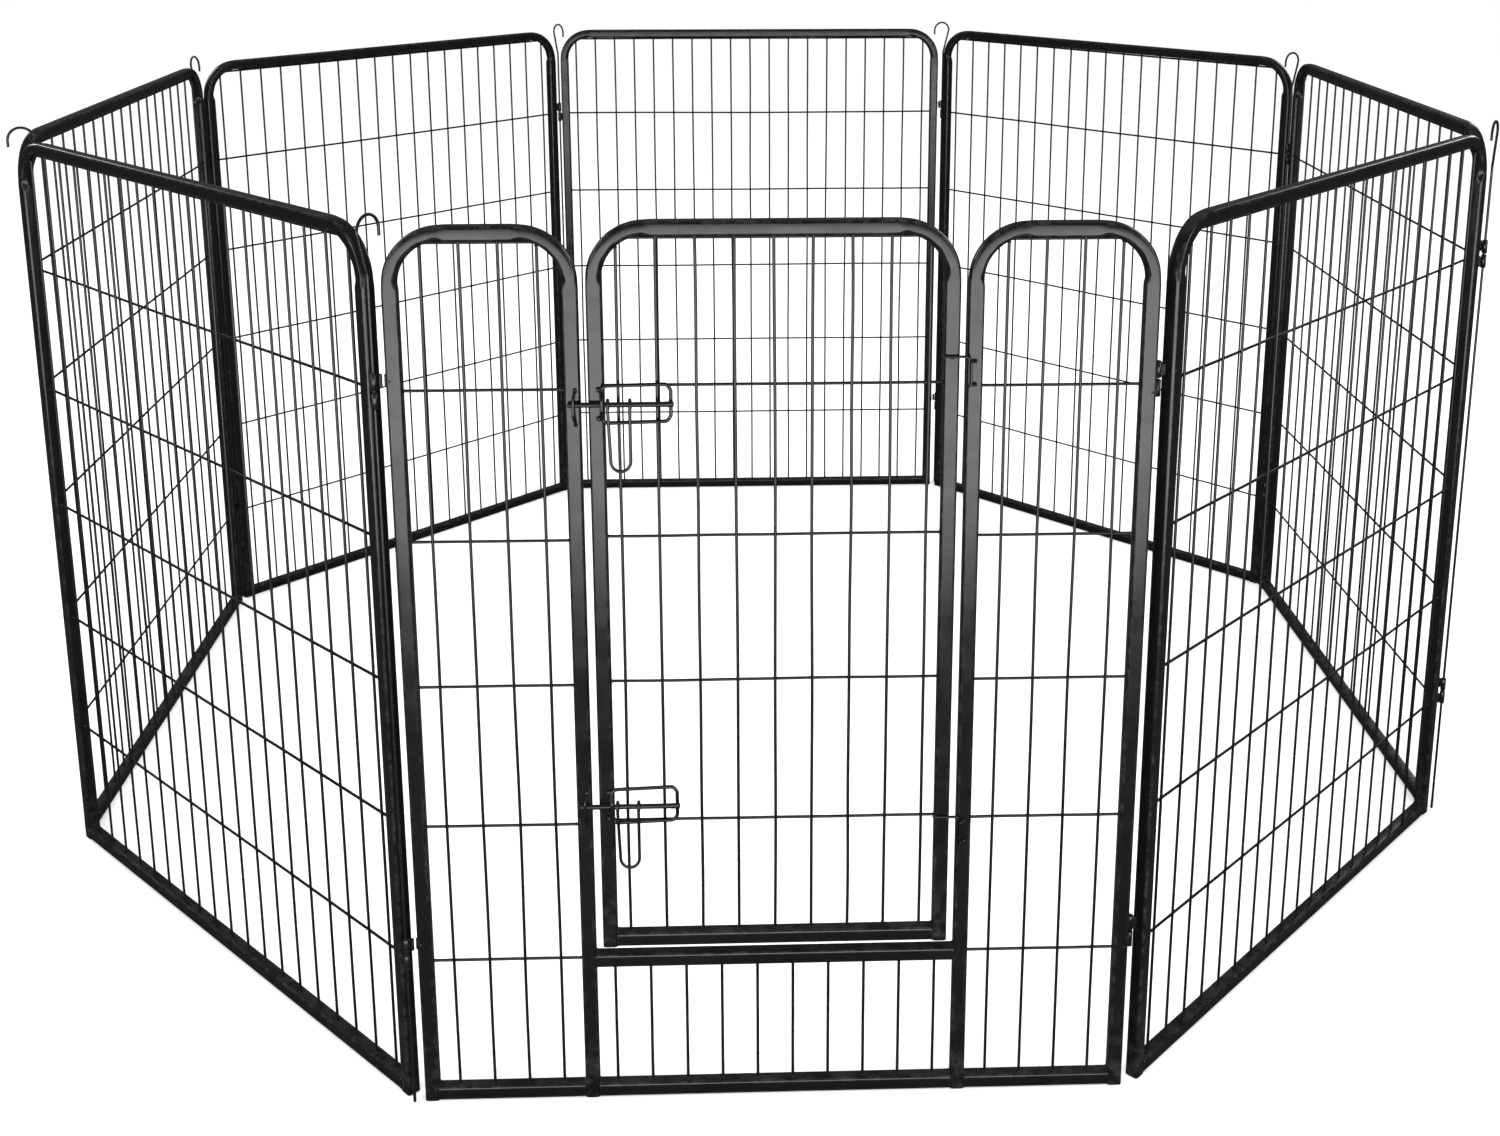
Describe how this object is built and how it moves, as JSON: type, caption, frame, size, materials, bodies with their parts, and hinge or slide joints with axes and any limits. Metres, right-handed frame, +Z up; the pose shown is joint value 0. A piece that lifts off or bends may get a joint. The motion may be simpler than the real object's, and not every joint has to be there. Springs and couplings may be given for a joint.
{
  "type": "pet playpen",
  "caption": "Octagonal folding playpen of welded wire-mesh panels in square-tube frames, joined by drop-in hinge rods, with a latched door.",
  "frame": {"origin": "on the floor, under the middle of the whole object's box", "axes": "+Z up, the gate faces -Y, +X to the right as seen from outside the gate"},
  "size_m": [1.9669, 1.9656, 1.014],
  "materials": {
    "frame_coat": "black powder coat on steel tube and wire, satin gloss",
    "hardware_coat": "black powder coat on steel wire, satin gloss",
    "hinge_rod_coat": "black powder coat on steel rod, satin gloss"
  },
  "bodies": {
    "gate": {"gate_left_section": "frame_coat", "gate_right_section": "frame_coat", "gate_lower_section": "frame_coat", "latch_keeper_upper": "hardware_coat", "latch_keeper_lower": "hardware_coat", "door_staple_upper": "hardware_coat", "door_staple_lower": "hardware_coat"},
    "door": {"door": "frame_coat", "door_hook_upper": "hardware_coat", "door_hook_lower": "hardware_coat", "latch_bracket_upper": "hardware_coat", "latch_bracket_lower": "hardware_coat"},
    "latch_bolt_upper": {"latch_bolt_upper": "hardware_coat"},
    "latch_handle_upper": {"latch_handle_upper": "hardware_coat"},
    "latch_bolt_lower": {"latch_bolt_lower": "hardware_coat"},
    "latch_handle_lower": {"latch_handle_lower": "hardware_coat"},
    "panel_front_left": {"panel_front_left": "frame_coat"},
    "hinge_rod_1": {"hinge_rod_1": "hinge_rod_coat"},
    "panel_left": {"panel_left": "frame_coat"},
    "hinge_rod_2": {"hinge_rod_2": "hinge_rod_coat"},
    "panel_back_left": {"panel_back_left": "frame_coat"},
    "hinge_rod_3": {"hinge_rod_3": "hinge_rod_coat"},
    "panel_back": {"panel_back": "frame_coat"},
    "hinge_rod_4": {"hinge_rod_4": "hinge_rod_coat"},
    "panel_back_right": {"panel_back_right": "frame_coat"},
    "hinge_rod_5": {"hinge_rod_5": "hinge_rod_coat"},
    "panel_right": {"panel_right": "frame_coat"},
    "hinge_rod_6": {"hinge_rod_6": "hinge_rod_coat"},
    "panel_front_right": {"panel_front_right": "frame_coat"},
    "hinge_rod_7": {"hinge_rod_7": "hinge_rod_coat"}
  },
  "joints": [
    {"name": "fold_1", "type": "hinge", "parent": "gate", "child": "panel_front_left", "pos_m": [-0.40305, -0.97095, 0.5], "axis": [0, 0, 1], "range_deg": [0, 215]},
    {"name": "fold_2", "type": "hinge", "parent": "panel_front_left", "child": "panel_left", "pos_m": [-0.95672, -0.39324, 0.5], "axis": [0, 0, 1], "range_deg": [-125, 0]},
    {"name": "fold_3", "type": "hinge", "parent": "panel_left", "child": "panel_back_left", "pos_m": [-0.97372, 0.40676, 0.5], "axis": [0, 0, 1], "range_deg": [0, 215]},
    {"name": "fold_4", "type": "hinge", "parent": "panel_back_left", "child": "panel_back", "pos_m": [-0.39601, 0.96043, 0.5], "axis": [0, 0, 1], "range_deg": [-125, 0]},
    {"name": "fold_5", "type": "hinge", "parent": "panel_back", "child": "panel_back_right", "pos_m": [0.40399, 0.97743, 0.5], "axis": [0, 0, 1], "range_deg": [0, 215]},
    {"name": "fold_6", "type": "hinge", "parent": "panel_back_right", "child": "panel_right", "pos_m": [0.95766, 0.39972, 0.5], "axis": [0, 0, 1], "range_deg": [-125, 0]},
    {"name": "fold_7", "type": "hinge", "parent": "panel_right", "child": "panel_front_right", "pos_m": [0.97466, -0.40028, 0.5], "axis": [0, 0, 1], "range_deg": [0, 215]},
    {"name": "door_swing", "type": "hinge", "parent": "gate", "child": "door", "pos_m": [0.19897, -0.97245, 0.6], "axis": [0, 0, -1], "range_deg": [-170, 0]},
    {"name": "upper_bolt_slide", "type": "slide", "parent": "door", "child": "latch_bolt_upper", "axis": [1, 0, 0], "range_m": [0, 0.028]},
    {"name": "upper_handle_swing", "type": "hinge", "parent": "latch_bolt_upper", "child": "latch_handle_upper", "pos_m": [-0.15753, -0.97364, 0.815], "axis": [1, 0, 0], "range_deg": [-110, 0]},
    {"name": "lower_bolt_slide", "type": "slide", "parent": "door", "child": "latch_bolt_lower", "axis": [1, 0, 0], "range_m": [0, 0.028]},
    {"name": "lower_handle_swing", "type": "hinge", "parent": "latch_bolt_lower", "child": "latch_handle_lower", "pos_m": [-0.15753, -0.97364, 0.363], "axis": [1, 0, 0], "range_deg": [-110, 0]},
    {"name": "rod_1_lift", "type": "slide", "parent": "gate", "child": "hinge_rod_1", "axis": [0, 0, 1], "range_m": [0, 0.86]},
    {"name": "rod_2_lift", "type": "slide", "parent": "panel_front_left", "child": "hinge_rod_2", "axis": [0, 0, 1], "range_m": [0, 0.86]},
    {"name": "rod_3_lift", "type": "slide", "parent": "panel_left", "child": "hinge_rod_3", "axis": [0, 0, 1], "range_m": [0, 0.86]},
    {"name": "rod_4_lift", "type": "slide", "parent": "panel_back_left", "child": "hinge_rod_4", "axis": [0, 0, 1], "range_m": [0, 0.86]},
    {"name": "rod_5_lift", "type": "slide", "parent": "panel_back", "child": "hinge_rod_5", "axis": [0, 0, 1], "range_m": [0, 0.86]},
    {"name": "rod_6_lift", "type": "slide", "parent": "panel_back_right", "child": "hinge_rod_6", "axis": [0, 0, 1], "range_m": [0, 0.86]},
    {"name": "rod_7_lift", "type": "slide", "parent": "panel_right", "child": "hinge_rod_7", "axis": [0, 0, 1], "range_m": [0, 0.86]}
  ],
  "couplings": [
    {"joint": "fold_2", "follows": "fold_1", "ratio": -0.58139},
    {"joint": "fold_3", "follows": "fold_1", "ratio": 1},
    {"joint": "fold_4", "follows": "fold_1", "ratio": -0.58139},
    {"joint": "fold_5", "follows": "fold_1", "ratio": 1},
    {"joint": "fold_6", "follows": "fold_1", "ratio": -0.58139},
    {"joint": "fold_7", "follows": "fold_1", "ratio": 1}
  ]
}
